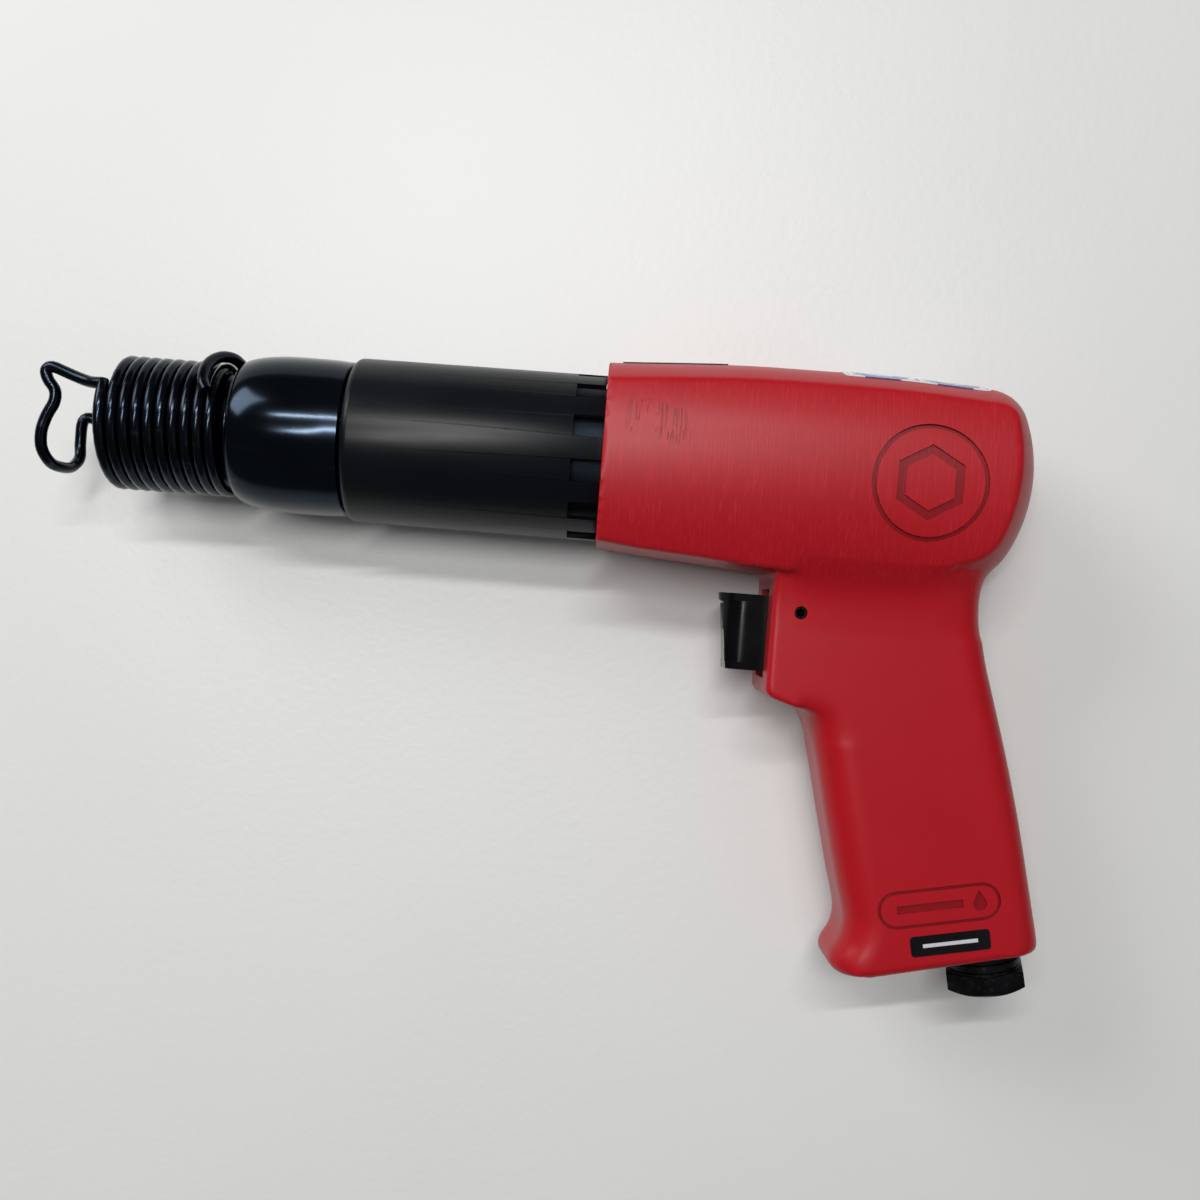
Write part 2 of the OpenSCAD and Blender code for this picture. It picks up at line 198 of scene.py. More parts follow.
middle = (0.05, 0.03, 0)
lamp("ceiling_tube", (-0.03, 0.60, 1.38), middle, (0.85, 0.035), 8.5, (1, 0.99, 0.98))
lamp("ceiling_tube_near", (-0.05, 0.17, 1.42), middle, (0.70, 0.06), 8.0, (1, 0.99, 0.98))
lamp("ceiling_panel", (-1.05, 0.90, 0.80), middle, (0.8, 0.8), 12.5, (0.98, 0.99, 1))
lamp("window_light", (0.95, -0.35, 0.9), middle, (0.7, 0.7), 0.3, (0.97, 0.98, 1))

world = bpy.data.worlds.new("room")
world.use_nodes = True
world.node_tree.nodes["Background"].inputs["Color"].default_value = (0.93, 0.96, 1, 1)
world.node_tree.nodes["Background"].inputs["Strength"].default_value = 0.12
bpy.context.scene.world = world
bpy.context.scene.view_settings.view_transform = "Standard"

camera_place = (0.1306, -0.0397, 0.340)
camera_roll = math.radians(4.38)
bpy.ops.object.camera_add(location=camera_place, rotation=(0, 0, camera_roll))
camera = bpy.context.object
camera.name = "camera"
camera.data.lens = 36.1
camera.data.sensor_width = 36
camera.data.clip_start = 0.01
bpy.context.scene.camera = camera

# ---- housing ---------------------------------------------------------------------
# One aluminium casting, body and grip in one, painted red. The body has flat-crowned
# sides with a crisp edge all round, and the grip runs into it with soft fillets.


def arc(centre, radius, start, end, steps):
    """Points on a circle, from start to end in degrees."""
    turns = [math.radians(start + (end - start) * i / steps) for i in range(steps + 1)]
    return [Vector((centre[0] + radius * math.cos(t), centre[1] + radius * math.sin(t))) for t in turns]


def smooth_line(points, steps):
    """A smooth curve through points, with steps between each two."""
    p = [Vector(q) for q in points]
    p = [2 * p[0] - p[1], *p, 2 * p[-1] - p[-2]]
    line = []
    for a, b, c, d in zip(p, p[1:], p[2:], p[3:]):
        for i in range(steps):
            t = i / steps
            bend = (2 * a - 5 * b + 4 * c - d) * t * t + (3 * b - a - 3 * c + d) * t * t * t
            line.append((2 * b + (c - a) * t + bend) / 2)
    return line + [p[-2]]


def in_place(piece):
    """Puts a piece's place, turn and scale into its mesh."""
    bpy.context.view_layer.objects.active = piece
    piece.select_set(True)
    bpy.ops.object.transform_apply(location=True, rotation=True, scale=True)


def draw_outline(name, points, z=0.0):
    """One face on the plane z, in millimetres, drawn point by point and facing +Z."""
    fresh()
    start = (points[0][0] * MM, points[0][1] * MM, z * MM)
    bpy.ops.mesh.primitive_plane_add(size=MM, location=start)
    piece = bpy.context.object
    piece.name = name
    in_place(piece)
    bpy.ops.object.mode_set(mode="EDIT")
    bpy.ops.mesh.select_mode(type="VERT")
    bpy.ops.mesh.merge(type="CENTER")
    for a, b in zip(points, points[1:]):
        step = ((b[0] - a[0]) * MM, (b[1] - a[1]) * MM, 0)
        bpy.ops.mesh.extrude_vertices_move(TRANSFORM_OT_translate={"value": step})
    bpy.ops.mesh.select_all(action="SELECT")
    bpy.ops.mesh.edge_face_add()
    bpy.ops.object.mode_set(mode="OBJECT")
    if piece.data.polygons[0].normal.z < 0:
        piece.data.flip_normals()
    return piece


def extruded(name, points, low, high):
    """A plate with that outline, from z low to z high, in millimetres."""
    piece = draw_outline(name, points, low)
    bpy.ops.object.mode_set(mode="EDIT")
    bpy.ops.mesh.select_all(action="SELECT")
    rise = (0, 0, (high - low) * MM)
    bpy.ops.mesh.extrude_region_move(TRANSFORM_OT_translate={"value": rise})
    outward(piece)
    return piece


def outward(piece):
    """Merges doubles and turns every face out."""
    bpy.context.view_layer.objects.active = piece
    if piece.mode != "EDIT":
        bpy.ops.object.mode_set(mode="EDIT")
    bpy.ops.mesh.select_all(action="SELECT")
    bpy.ops.mesh.remove_doubles(threshold=2e-6)
    bpy.ops.mesh.normals_make_consistent(inside=False)
    bpy.ops.object.mode_set(mode="OBJECT")


def apply_modifier(piece, kind, **settings):
    """Adds a modifier with these settings and makes it part of the mesh."""
    bpy.context.view_layer.objects.active = piece
    modifier = piece.modifiers.new(kind.lower(), kind)
    for name, value in settings.items():
        setattr(modifier, name, value)
    bpy.ops.object.modifier_apply(modifier=modifier.name)


def combine(piece, tool, operation):
    """Cuts tool from piece, joins it on or keeps what they share. The tool is used up."""
    fresh()
    apply_modifier(piece, "BOOLEAN", object=tool, operation=operation, solver="MANIFOLD")
    bpy.data.objects.remove(tool)


def block(low, high):
    """A block from corner to corner, in millimetres."""
    fresh()
    middle_of = [(a + b) / 2 * MM for a, b in zip(low, high)]
    size = [(b - a) * MM for a, b in zip(low, high)]
    bpy.ops.mesh.primitive_cube_add(size=1, location=middle_of, scale=size)
    in_place(bpy.context.object)
    return bpy.context.object


def rod(start, way, radius, length, sides=64):
    """A round rod from start along way, in millimetres."""
    fresh()
    way = Vector(way).normalized()
    centre = (Vector(start) + way * length / 2) * MM
    turn = way.to_track_quat("Z", "Y").to_euler()
    bpy.ops.mesh.primitive_cylinder_add(
        vertices=sides, radius=radius * MM, depth=length * MM, location=centre, rotation=turn
    )
    in_place(bpy.context.object)
    return bpy.context.object


def shade(piece, angle=30):
    """Smooth shading, but for edges sharper than angle."""
    fresh()
    bpy.context.view_layer.objects.active = piece
    piece.select_set(True)
    bpy.ops.object.shade_smooth_by_angle(angle=math.radians(angle))


def fit(piece, material, body, slot, *nodes):
    """Gives a finished piece its material and its body, and hides the CAD nodes that it stands for."""
    piece.data.materials.clear()
    piece.data.materials.append(material)
    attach(piece, body)
    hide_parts(*nodes)


body_front = 128.2
body_half = 26.4
side_radius = 66
# outline of the body on its mid-plane, anticlockwise from the front of the underside
front_low, front_high = Vector((80, -20.5)), Vector((80, 24.0))
underside = smooth_line([(128.2, -24.9), (141, -26.2), (158, -27.4), (177, -28.8), (200, -29.5),
                         (224.6, -29.5)], 4)
tail_corner = arc((224.6, -9.5), 20, -90, -28.7, 10)
rear = arc((202.7, 2.5), 45, -28.7, 21.8, 14)
top_corner = arc((232.4, 14.4), 13, 21.8, 86, 9)
top_line = smooth_line([(233.3, 27.37), (208, 28.6), (182, 28.8), (162, 28.5), (128.2, 26.6)], 5)
body_outline = [front_low, *underside[:-1], *tail_corner[:-1], *rear[:-1], *top_corner[:-1], *top_line,
                front_high]


def crowned(name, outline, radius, steps=16):
    """A solid either side of an outline, drawn in towards its faces as a circle of that radius falls away."""
    piece = draw_outline(name, outline)
    bpy.ops.object.mode_set(mode="EDIT")
    bpy.ops.mesh.select_all(action="SELECT")
    height, drawn_in, full_height = 0.0, 0.0, 27.5
    for i in range(1, steps + 1):
        next_height = full_height * math.sin(math.pi / 2 * i / steps)
        next_in = radius - math.sqrt(radius**2 - next_height**2)
        bpy.ops.mesh.inset(thickness=(next_in - drawn_in) * MM, depth=(next_height - height) * MM)
        height, drawn_in = next_height, next_in
    bpy.ops.object.mode_set(mode="OBJECT")
    apply_modifier(piece, "MIRROR", use_axis=(False, False, True), merge_threshold=1e-5)
    outward(piece)
    return piece


housing = crowned("housing_shell", body_outline, 40)
# the underside is flatter than the top and the back
belly_corner = arc((211, -9.5), 20, -90, -20, 8)
belly_outline = [front_low, *[p for p in underside if p.x < 210], *belly_corner, Vector((230.5, 4)),
                 Vector((80, 4))]
combine(housing, crowned("belly", belly_outline, 260), "UNION")
for side in (-1, 1):
    barrel_round = rod((60, 0, side * (body_half - side_radius)), (1, 0, 0), side_radius, 220, 320)
    combine(housing, barrel_round, "INTERSECT")
combine(housing, block((60, -60, -40), (body_front, 60, 40)), "DIFFERENCE")

# grip: a rounded bar drawn down from inside the body, level by level
grip_lean = math.radians(10.7)
grip_half = 16
front_line = [(183, -8), (183, -40), (185, -54), (187.6, -63), (190.2, -69), (192.5, -75.3), (196.6, -92.3),
              (200.8, -109.3),
              (203.4, -118.6), (204.2, -123.2), (203.3, -127.8), (201.4, -131), (200.7, -133.4), (201.7,
                      -135.6), (205.5, -138)]
back_line = [(230, -8), (233, -20), (234.7, -30), (235.1, -38), (237.0, -48.2), (241.1, -61.7),
             (245.9, -77.9), (250.2, -94.2),
             (254.9, -114.6), (256.6, -122), (257, -126), (256.6, -139)]


def across_at(line, level):
    """Where a line running downwards crosses a level."""
    for p, q in zip(line, line[1:]):
        if p.y >= level >= q.y:
            return p.x + (q.x - p.x) * (p.y - level) / (p.y - q.y)
    return line[-1].x


def flare(level):
    """Half width of the grip, which swells where it meets the underside of the body."""
    low, high, extra = -42.0, -24.0, 5.4
    rise = min(max((level - low) / (high - low), 0), 0.999)
    return grip_half + (extra * (1 - math.sqrt(1 - rise * rise)) if level < high else 0)


def pick(piece, kind, wanted):
    """Goes into edit mode with just the wanted edges or faces selected."""
    fresh()
    bpy.context.view_layer.objects.active = piece
    bpy.ops.object.mode_set(mode="EDIT")
    bpy.ops.mesh.select_mode(type=kind)
    bpy.ops.mesh.select_all(action="DESELECT")
    bpy.ops.object.mode_set(mode="OBJECT")
    for item in piece.data.edges if kind == "EDGE" else piece.data.polygons:
        item.select = wanted(item)
    bpy.ops.object.mode_set(mode="EDIT")


def drawn_bar(name, sections, front_round, rear_round, segments):
    """A bar drawn down through sections (level, front, rear, half width), its long edges rounded."""
    level, front, rear, half = sections[0]
    bar = block((front, level, -half), (rear, level + 3, half))
    bar.name = name
    for rounding, x in ((front_round, front), (rear_round, rear)):
        ends = bar.data.vertices
        pick(bar, "EDGE", lambda e: all(abs(ends[v].co.x - x * MM) < 1e-5 for v in e.vertices)
             and abs(ends[e.vertices[0]].co.y - ends[e.vertices[1]].co.y) > MM)
        bpy.ops.mesh.bevel(offset=rounding * MM, segments=segments)
    pick(bar, "FACE", lambda f: f.normal.y < -0.9)
    for (y0, f0, r0, h0), (y1, f1, r1, h1) in zip(sections, sections[1:]):
        step = ((f1 + r1 - f0 - r0) / 2 * MM, (y1 - y0) * MM, 0)
        bpy.ops.mesh.extrude_region_move(TRANSFORM_OT_translate={"value": step})
        stretch = ((r1 - f1) / (r0 - f0), 1, h1 / h0)
        bpy.ops.transform.resize(value=stretch, center_override=((f1 + r1) / 2 * MM, y1 * MM, 0))
    outward(bar)
    return bar


front_line, back_line = smooth_line(front_line, 4), smooth_line(back_line, 4)
levels = [-10 - 1.5 * i for i in range(86)]
sections = [(y, across_at(front_line, y), across_at(back_line, y), flare(y)) for y in levels]
start = (-9.5, *sections[0][1:3], grip_half)
grip = drawn_bar("grip_bar", [start, *sections], 9, 6.5, 9)
inlet_lean = math.radians(12)
inlet_way = Vector((math.sin(inlet_lean), -math.cos(inlet_lean), 0))
inlet_at = Vector((245.3, -128.7, 0))
pick(grip, "FACE", lambda f: True)
bpy.ops.mesh.bisect(plane_co=inlet_at * MM, plane_no=inlet_way, clear_outer=True, use_fill=True)
outward(grip)
# a hair-thin inset cleans up the rim of the foot before it is bevelled
hair = 0.0001
pick(grip, "FACE", lambda f: f.normal.dot(inlet_way) > 0.99 and f.area > 1e-4)
bpy.ops.mesh.inset(thickness=hair * MM)
bpy.ops.object.mode_set(mode="OBJECT")
outward(grip)
pick(grip, "FACE", lambda f: f.normal.dot(inlet_way) > 0.99 and f.area > 1e-4)
bpy.ops.mesh.region_to_loop()
bpy.ops.mesh.bevel(offset=1.8 * MM, segments=4)
outward(grip)

# squarer block in front of it that holds the trigger
block_levels = [y for y in levels if y > -60] + [-61.0, -62.6, -64.3, -66.0]
block_front = [Vector(p) for p in ((177, 0), (177, -61), (178.6, -62.6), (184.0, -64.3), (190, -66))]
block_sections = [(y, across_at(block_front, y), 203, flare(y)) for y in block_levels]
trigger_block = drawn_bar("trigger_block", [(-9.5, 177, 203, grip_half), *block_sections], 1.4, 1.4, 4)
combine(housing, grip, "UNION")
combine(housing, trigger_block, "UNION")

apply_modifier(housing, "REMESH", mode="VOXEL", voxel_size=0.76 * MM, use_smooth_shade=True)


def smooth_where(piece, inside, repeat, factor=0.5):
    """Relaxes the points for which inside(point) holds."""
    bpy.context.view_layer.objects.active = piece
    for vertex in piece.data.vertices:
        vertex.select = bool(inside(vertex.co / MM))
    bpy.ops.object.mode_set(mode="EDIT")
    bpy.ops.mesh.select_mode(type="VERT")
    bpy.ops.mesh.vertices_smooth(factor=factor, repeat=repeat)
    bpy.ops.object.mode_set(mode="OBJECT")


bpy.ops.object.mode_set(mode="EDIT")
bpy.ops.mesh.select_all(action="DESELECT")
bpy.ops.object.mode_set(mode="OBJECT")
smooth_where(housing, lambda p: p.x > 180.5 and -43 < p.y < -24, 50)
smooth_where(housing, lambda p: p.x > 230 and -40 < p.y < -22, 60)
smooth_where(housing, lambda p: 186 < p.x < 207 and -74 < p.y < -56, 60)
smooth_where(housing, lambda p: p.x > body_front + 1.5, 3)

# bores, slot and engraving are cut into the finished casting
along = (1, 0, 0)
cut_from = 120
barrel_seat, valve_chamber, air_feed = (19.75, 148.1), (16.6, 165.6), (4.5, 208)
for radius, end in (barrel_seat, valve_chamber, air_feed):
    combine(housing, rod((cut_from, 0, 0), along, radius, end - cut_from), "DIFFERENCE")
stem_low, stem_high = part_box("throttle_stem")
throttle_y = (stem_low.y + stem_high.y) / 2 / MM
slot_front, slot_back, slot_high, slot_half = 168, 198, 12.3, 7.6
trigger_slot = block((slot_front, throttle_y - slot_high, -slot_half),
                     (slot_back, throttle_y + slot_high, slot_half))
combine(housing, trigger_slot, "DIFFERENCE")
combine(housing, rod((190, throttle_y, 0), along, 6.1, 40), "DIFFERENCE")
pin_low, pin_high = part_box("trigger_pin")
pin_x, pin_y = (pin_low.x + pin_high.x) / 2 / MM, (pin_low.y + pin_high.y) / 2 / MM
pin_hole_r, inlet_hole_r, inlet_mouth_r = 1.75, 9.5, 10.7
combine(housing, rod((pin_x, pin_y, -25), (0, 0, 1), pin_hole_r, 50, 48), "DIFFERENCE")
combine(housing, rod(inlet_at - 15 * inlet_way, inlet_way, inlet_hole_r, 40), "DIFFERENCE")
combine(housing, rod(inlet_at, inlet_way, inlet_mouth_r, 8), "DIFFERENCE")


def ring_tool(centre, outer, inner, sides=128):
    """A tube standing along Z round centre, for engraving the side of the body."""
    tool = rod((*centre, 0), (0, 0, 1), outer, 60, sides)
    combine(tool, rod((*centre, -5), (0, 0, 1), inner, 80, sides), "DIFFERENCE")
    return tool


def engrave(tool, depth):
    """Sinks tool into the left side of the body by depth, following its crown."""
    keep_out = rod((100, 0, body_half - side_radius), (1, 0, 0), side_radius - depth, 170, 320)
    combine(tool, keep_out, "DIFFERENCE")
    combine(housing, tool, "DIFFERENCE")


# badge: a ring round a plain hexagon
badge = (214.3, -2.5)
engrave(ring_tool(badge, 15.4, 14.2), 0.8)
engrave(ring_tool(badge, 10, 7.4, 6), 0.55)

# panel: a rounded rim with a plain bar and an oil drop in it
pill_at = Vector((228.0, -114.9))
pill_half, pill_round = 11.6, 4.7


def pill(grow):
    """Outline of the sunk panel at the foot of the grip, grown by grow."""
    ends = arc((pill_half, 0), pill_round + grow, -90, 90, 12) + arc((-pill_half, 0), pill_round + grow, 90,
            270, 12)
    turn = Matrix.Rotation(grip_lean, 2)
    return [pill_at + turn @ p for p in ends]


rim = extruded("rim_tool", pill(0.4), grip_half - 0.8, grip_half + 4)
combine(rim, extruded("rim_core", pill(-0.45), grip_half - 3, grip_half + 6), "DIFFERENCE")
combine(housing, rim, "DIFFERENCE")


def panel_point(x, y):
    """A point on the sunk panel, along and across it."""
    return pill_at + Matrix.Rotation(grip_lean, 2) @ Vector((x, y))


drop_at = 11.0
drop = [panel_point(drop_at + p.x, p.y - 0.6) for p in arc((0, 0), 1.9, -215, 35,
                                                           16)] + [panel_point(drop_at, 3.2)]
combine(housing, extruded("drop_tool", drop, grip_half - 0.7, grip_half + 4), "DIFFERENCE")
bar = [panel_point(x, y) for x, y in ((-11.5, -1.1), (6.5, -1.1), (6.5, 1.1), (-11.5, 1.1))]
combine(housing, extruded("bar_tool", bar, grip_half - 0.6, grip_half + 4), "DIFFERENCE")
shade(housing, 35)

red_paint = Finish("red_paint", Specular_IOR_Level=0.27, Coat_Roughness=0.25, Coat_IOR=1.4)
x, y, z = red_paint.axes(red_paint.place())
cloud = red_paint.noise(red_paint.place(), 28, 3)
polish = red_paint.noise(red_paint.place(scale=(1, 0.035, 0.3)), 2600, 2, 0.6)
on_body = red_paint.between(y, -0.034, -0.026)
red = red_paint.mix((0.335, 0.003, 0.009, 1), (0.41, 0.005, 0.012, 1), cloud)
lined = red_paint.mix(red, (0.58, 0.022, 0.034, 1), red_paint.between(polish, 0.5, 0.75) * on_body * 0.35)
# short slanting rub marks in the paint near the front edge
slant = red_paint.place(scale=(1, 0.07, 0.3), turn=(0, 0, -0.38))
strokes = red_paint.noise(slant, 1900, 1, 0.4)
rub_x, rub_y = 0.1425, 0.0085
patch = red_paint.between(abs(x - rub_x), 0.0105, 0.006)
patch = patch * red_paint.between(abs(y - rub_y + (x - rub_x) * 0.2), 0.0058, 0.004)
broken = red_paint.between(red_paint.noise(red_paint.place(), 190, 1), 0.40, 0.48)
patch = patch * broken * red_paint.between(z, 0.018, 0.02)
rubbed = red_paint.between(strokes, 0.54, 0.60) * patch
scored = red_paint.mix(lined, (0.20, 0.002, 0.006, 1), rubbed * 0.8)
# painted shade: the red is darkened in the engraved grooves of the badge and the panel, where shade falls
crown = (side_radius**2 * MM**2 - y * y) ** 0.5 + (body_half - side_radius) * MM
from_badge = ((x - badge[0] * MM) ** 2 + (y - badge[1] * MM) ** 2) ** 0.5
from_panel = ((x - pill_at.x * MM) ** 2 + (y - pill_at.y * MM) ** 2) ** 0.5
near_badge = red_paint.between(from_badge, 0.0162, 0.0160)
near_panel = red_paint.between(from_panel, 0.0172, 0.0170)
near_panel = near_panel * red_paint.between(z, 0.0145, 0.0147)
badge_groove_shade = red_paint.between(crown - z, 0.00015, 0.0005) * near_badge
panel_groove_shade = red_paint.between(z, grip_half * MM - 0.0002, grip_half * MM - 0.0005) * near_panel
sunk = badge_groove_shade + panel_groove_shade
# painted shade mixed into the engraved grooves
red_paint.feed(Base_Color=red_paint.mix(scored, (0.17, 0.002, 0.006, 1), sunk * 0.75))
red_paint.feed(Roughness=0.33 + 0.08 * cloud + 0.08 * polish * on_body, Coat_Weight=0.1 - 0.04 * cloud)
grain = red_paint.noise(red_paint.place(), 900, 2)
red_paint.bump(polish * on_body * 1.2 + grain * 0.5 - rubbed * 2.0, 0.00002)
fit(housing, red_paint.material, "tool", "red_paint", "housing")

# ---- barrel ------------------------------------------------------------------------
# Turned and blued steel. The nose is cut with round grooves for the retainer spring,
# and the swell behind it is polished. Its tail is screwed into the housing.


def turned(name, stations, axis_point, way, sides=128, bored=True):
    """A piece turned on a lathe: a ring drawn along way and resized at each (distance, radius)."""
    fresh()
    first = stations[0]
    bpy.ops.mesh.primitive_circle_add(vertices=sides, radius=first[1] * MM, location=(0, 0, first[0] * MM),
                                      fill_type="NOTHING" if bored else "NGON")
    piece = bpy.context.object
    piece.name = name
    in_place(piece)
    bpy.ops.object.mode_set(mode="EDIT")
    bpy.ops.mesh.select_all(action="SELECT")
    bpy.ops.mesh.select_mode(type="EDGE")
    if not bored:
        bpy.ops.mesh.region_to_loop()
    for (d0, r0), (d1, r1) in zip(stations, stations[1:]):
        bpy.ops.mesh.extrude_edges_move(TRANSFORM_OT_translate={"value": (0, 0, (d1 - d0) * MM)})
        bpy.ops.transform.resize(value=(r1 / r0, r1 / r0, 1), center_override=(0, 0, d1 * MM))
    if not bored:
        bpy.ops.mesh.edge_face_add()
    outward(piece)
    piece.rotation_euler = Vector(way).to_track_quat("Z", "Y").to_euler()
    piece.location = Vector(axis_point) * MM
    in_place(piece)
    outward(piece)
    return piece


nose_r, swell_r, tail_r, shank_r = 15.4, 21.9, 19.6, 5.15
nose_end = 27
barrel_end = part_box("barrel")[1].x / MM
groove_pitch = 3.3
grooves = []
for i in range(8):
    start = 1.2 + i * groove_pitch
    for step in range(9):
        turn = math.pi * step / 8
        grooves.append((start + groove_pitch * step / 8, nose_r + 0.75 - 1.0 * math.sin(turn)))
swell = smooth_line([(nose_end, 19.0), (nose_end + 1.3, 19.9), (nose_end + 4, 20.8), (nose_end + 8, 21.5),
                     (nose_end + 14, swell_r),
                     (nose_end + 24, swell_r), (nose_end + 30.4, 21.55)], 4)
barrel_outline = [(0, shank_r + 0.8), (0, nose_r - 0.4), (0.6, nose_r + 0.1), *grooves, (nose_end, nose_r),
                  *[tuple(p) for p in swell],
                  (nose_end + 31, 20.9), (nose_end + 31, tail_r), (barrel_end, tail_r), (barrel_end,
                          9.55), (32, 9.55),
                  (32, shank_r), (0.8, shank_r), (0, shank_r + 0.8)]
barrel = turned("barrel_turned", barrel_outline, (0, 0, 0), along, 144)
shade(barrel, 32)

blued_steel = Finish("blued_steel", Metallic=1.0)
point = blued_steel.place()
cloud = blued_steel.noise(point, 60, 3)
lathe = blued_steel.noise(blued_steel.place(scale=(1, 0.002, 0.002)), 3200, 2)
smear = blued_steel.noise(blued_steel.place(scale=(0.15, 1, 1)), 240, 2)
blue = blued_steel.mix((0.012, 0.017, 0.024, 1), (0.024, 0.033, 0.045, 1), cloud)
blued_steel.feed(Base_Color=blued_steel.mix(blue, (0.055, 0.068, 0.08, 1),
                                            blued_steel.between(smear, 0.62, 0.8) * 0.5))
x, _, _ = blued_steel.axes(point)
tail = blued_steel.between(x, 0.100, 0.104)
blued_steel.feed(Roughness=0.09 + 0.07 * cloud + 0.05 * smear + 0.4 * tail)
blued_steel.bump(lathe, 0.000004)
fit(barrel, blued_steel.material, "tool", "blued_steel", "barrel")

# ---- exhaust sleeve ------------------------------------------------------------------
# A satin black cup over the barrel. Air leaves through twelve notches cut in its rear
# edge, against the housing.

sleeve_low, sleeve_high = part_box("exhaust_sleeve")
sleeve_front, sleeve_rear = sleeve_low.x / MM, sleeve_high.x / MM
sleeve_r0, sleeve_r1, sleeve_wall = 22.9, 23.2, 1.5
corner_r = 2.2
front_corner = [(sleeve_front + corner_r - corner_r * math.cos(t),
                 sleeve_r0 - corner_r + corner_r * math.sin(t))
                for t in [math.pi / 2 * i / 8 for i in range(9)]]
sleeve_outline = [(sleeve_front, tail_r + 0.3), *front_corner, (sleeve_rear, sleeve_r1),
                  (sleeve_rear, sleeve_r1 - sleeve_wall),
                  (sleeve_front + 3, sleeve_r0 - sleeve_wall), (sleeve_front + 3,
                          tail_r + 0.3), (sleeve_front, tail_r + 0.3)]
sleeve = turned("exhaust_sleeve_cup", sleeve_outline, (0, 0, 0), along, 144)
notch_count, notch_l, notch_w, first_notch = 12, 8.0, 6.0, 15
for i in range(notch_count):
    notch = block((sleeve_rear - notch_l, 15, -notch_w / 2), (sleeve_rear + 2, 30, notch_w / 2))
    notch.rotation_euler.x = math.radians(first_notch + i * 360 / notch_count)
    in_place(notch)
    combine(sleeve, notch, "DIFFERENCE")
apply_modifier(sleeve, "BEVEL", width=0.22 * MM, segments=2, limit_method="ANGLE",
               angle_limit=math.radians(40))
shade(sleeve, 32)

satin_black = Finish("satin_black", Specular_IOR_Level=0.22)
cloud = satin_black.noise(satin_black.place(), 45, 4)
peel = satin_black.noise(satin_black.place(), 1400, 2)
draw = satin_black.noise(satin_black.place(scale=(0.06, 1, 1)), 900, 2)
satin_black.feed(Base_Color=satin_black.mix((0.0012, 0.002, 0.0035, 1), (0.003, 0.0045, 0.007, 1), cloud))
satin_black.feed(Roughness=0.24 + 0.1 * cloud + 0.05 * draw)
satin_black.bump(peel + draw * 0.6, 0.000006)
fit(sleeve, satin_black.material, "tool", "satin_black", "exhaust_sleeve")

# ---- retainer spring ------------------------------------------------------------------
# One spring wire: close-wound on the grooved nose, with a yoke at the front that
# straddles the chisel and a free end at the rear, bent up for the thumb.

wire_r = 1.6
coil_r, coil_pitch, coil_front = 17.25, 3.3, -7.6
coil_start, coil_turns, coil_steps = 60, 9.78, 32


def bent_wire(name, points, radius):
    """Round wire along points, in millimetres."""
    fresh()
    bpy.ops.curve.primitive_nurbs_path_add()
    piece = bpy.context.object
    piece.name = name
    piece.data.splines.clear()
    line = piece.data.splines.new("POLY")
    line.points.add(len(points) - 1)
    for knot, p in zip(line.points, points):
        knot.co = (*(p * MM), 1)
    piece.data.dimensions = "3D"
    piece.data.twist_mode = "MINIMUM"
    piece.data.bevel_depth = radius * MM
    piece.data.bevel_resolution = 5
    piece.data.use_fill_caps = True
    bpy.ops.object.convert(target="MESH")
    in_place(piece)
    outward(piece)
    shade(piece, 60)
    return piece


def round_barrel(angle, radius, x):
    """A point round the barrel, its angle counted from the top."""
    t = math.radians(angle)
    return Vector((x, radius * math.cos(t), radius * math.sin(t)))


yoke = [(-9.2, -5.5, -13), (-15.5, -1.6, -11.9), (-20.6, 1.6, -10.6), (-23.3, 0.6, -10.1),
        (-23.6, -5.5, -10.1), (-23.0, -10.2, -9.0),
        (-23.4, -13.2, -5.2), (-23.9, -13.9, 0), (-24.8, -13.2, 5.2), (-25.7, -9.8, 9.0), (-25.7, -5.2,
                10.0), (-24.4, -0.8, 10.3),
        (-22.6, 3.0, 10.4), (-22.6, 6.2, 10.5), (-24.6, 9.0, 10.6), (-25.3, 11.4, 10.7), (-23.6, 12.5,
                10.9), (-19.5, 11.2, 11.5),
        (-15.8, 9.9, 12.2), (-12.3, 8.9, 13.2), (-9.7, 8.6, 14.3)]
coil = [round_barrel(coil_start + i * 360 / coil_steps, coil_r, coil_front + i * coil_pitch / coil_steps)
        for i in range(int(coil_turns * coil_steps) + 1)]
free_end = [(355, 18.3, 25), (370, 19.9, 23.8), (382, 20.8, 21.7), (395, 20.9, 20), (408, 20.9, 19.6),
            (420, 20.9, 20.2), (427, 20.8, 21.6)]
wire_line = smooth_line([Vector(p) for p in yoke] + [coil[0]],
                        4)[:-1] + coil + smooth_line([round_barrel(*p) for p in free_end], 4)

spring = bent_wire("retainer_spring_wire", wire_line, wire_r)

spring_blue = Finish("blued_spring_steel", Metallic=1.0)
cloud = spring_blue.noise(spring_blue.place(), 110, 3)
worn = spring_blue.between(spring_blue.noise(spring_blue.place(scale=(0.3, 1, 1)), 380, 3), 0.58, 0.72)
blue = spring_blue.mix((0.011, 0.015, 0.021, 1), (0.022, 0.029, 0.040, 1), cloud)
spring_blue.feed(Base_Color=spring_blue.mix(blue, (0.06, 0.07, 0.08, 1), worn * 0.35),
                 Roughness=0.13 + 0.1 * cloud + 0.08 * worn)
spring_blue.bump(spring_blue.noise(spring_blue.place(), 1700, 2), 0.000005)
fit(spring, spring_blue.material, "tool", "blued_spring_steel", "retainer_spring")

# ---- trigger ---------------------------------------------------------------------------
# A moulded black plastic push button: a round-fronted thumb of plastic between two
# flanges, with a long slot through its shank for the pin.

trigger_low, trigger_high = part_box("trigger")
t_front, t_back = trigger_low.x / MM, trigger_high.x / MM
t_bottom, t_top = trigger_low.y / MM, trigger_high.y / MM
t_half = trigger_high.z / MM
slant = 2.7
flange_t = 2.1
sink = 0.35


